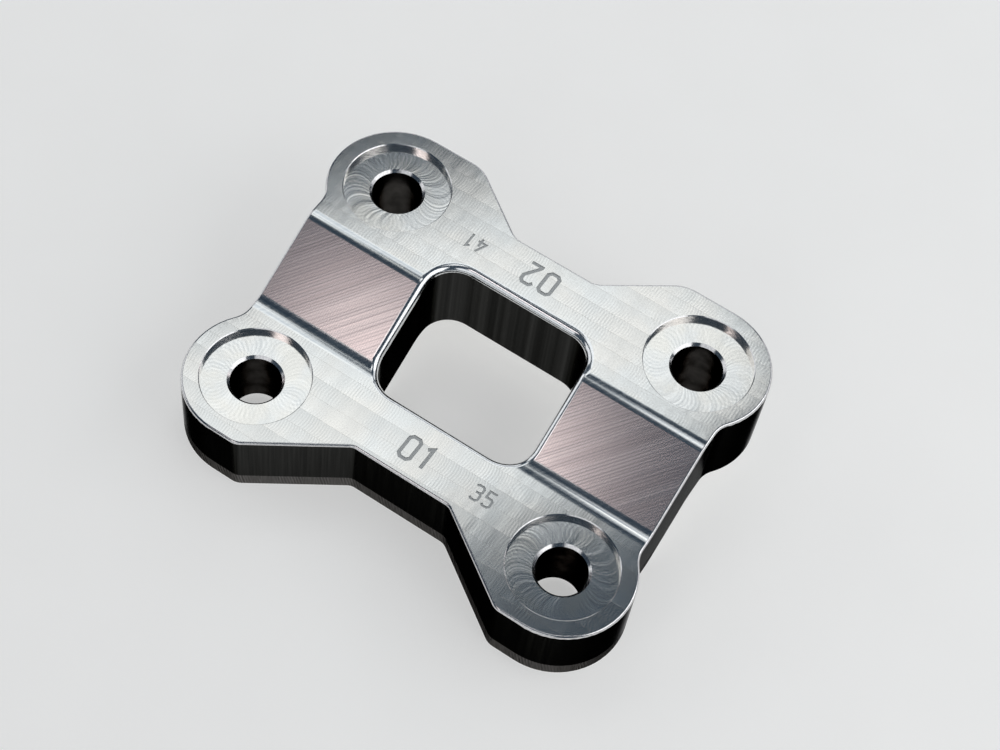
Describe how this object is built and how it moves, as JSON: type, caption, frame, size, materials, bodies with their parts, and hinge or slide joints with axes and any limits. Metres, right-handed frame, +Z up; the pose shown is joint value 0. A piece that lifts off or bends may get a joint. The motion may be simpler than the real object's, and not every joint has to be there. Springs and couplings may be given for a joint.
{
  "type": "retraction plate",
  "caption": "Machined plate with stepped rails joined by a ramp, counterbored bolt holes in rounded corner ears and a rounded window in the middle.",
  "frame": {"origin": "middle of the footprint, on the plane of the front rail's underside", "axes": "+X along the rails, +Y from the low front rail to the high rear rail, +Z up out of the counterbored face"},
  "size_m": [0.2238, 0.172, 0.0571],
  "materials": {
    "machined_aluminium": "face-milled top faces, finely machined ramps, bright milled walls"
  },
  "bodies": {
    "root": {"retraction_plate": "machined_aluminium"}
  },
  "joints": []
}
